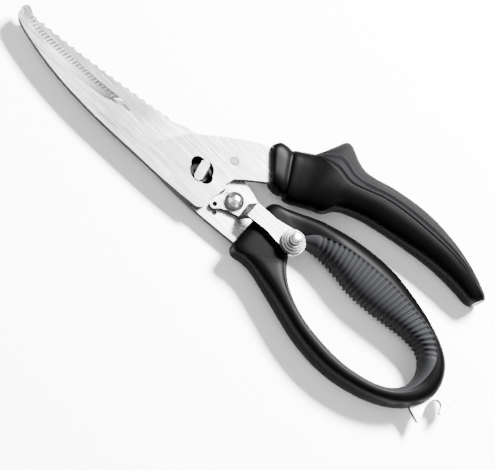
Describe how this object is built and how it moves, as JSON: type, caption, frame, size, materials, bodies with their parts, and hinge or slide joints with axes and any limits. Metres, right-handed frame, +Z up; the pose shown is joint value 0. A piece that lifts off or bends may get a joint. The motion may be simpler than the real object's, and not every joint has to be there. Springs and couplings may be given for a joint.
{
  "type": "poultry shears",
  "caption": "Poultry shears with curved blades, a T-head pivot, a locking lever, a ring handle with ribbed liner and bottle opener, and an open handle with soft grip.",
  "frame": {"origin": "centre of the footprint, on the plane that the closed shears lie on", "axes": "+X from the blade tips towards the handles, +Y towards the open handle, +Z up through the pivot"},
  "size_m": [0.2454, 0.0832, 0.0227],
  "materials": {
    "brushed_steel": "brushed",
    "polished_steel": "polished",
    "spring_steel": "satin",
    "black_plastic": "satin",
    "grey_grip": "soft matte"
  },
  "bodies": {
    "rear_half": {"rear_blade": "brushed_steel", "bottle_opener": "brushed_steel", "ring_handle_core": "black_plastic", "ring_handle_liner": "grey_grip", "spring_housing": "black_plastic", "opening_spring": "spring_steel", "pivot_stud": "polished_steel", "pivot_washer": "brushed_steel", "pivot_nut": "polished_steel", "detent_ball": "polished_steel", "lever_rivet": "polished_steel", "lever_washer": "brushed_steel", "lever_back_washer": "brushed_steel"},
    "front_half": {"front_blade": "brushed_steel", "stop_pin": "polished_steel", "open_handle_core": "black_plastic", "open_handle_grip": "grey_grip"},
    "lever": {"lock_lever": "brushed_steel", "lever_knob": "polished_steel", "knob_rivet": "polished_steel"}
  },
  "joints": [
    {"name": "blade_pivot", "type": "hinge", "parent": "rear_half", "child": "front_half", "pos_m": [-0.0212, -0.0159, 0.0088], "axis": [0, 0, 1], "range_deg": [0, 32]},
    {"name": "lever_pivot", "type": "hinge", "parent": "rear_half", "child": "lever", "pos_m": [-0.0023, -0.0156, 0.0083], "axis": [0, 0, 1], "range_deg": [0, 90]}
  ],
  "couplings": [
    {"joint": "lever_pivot", "follows": "blade_pivot", "ratio": 2.8}
  ]
}
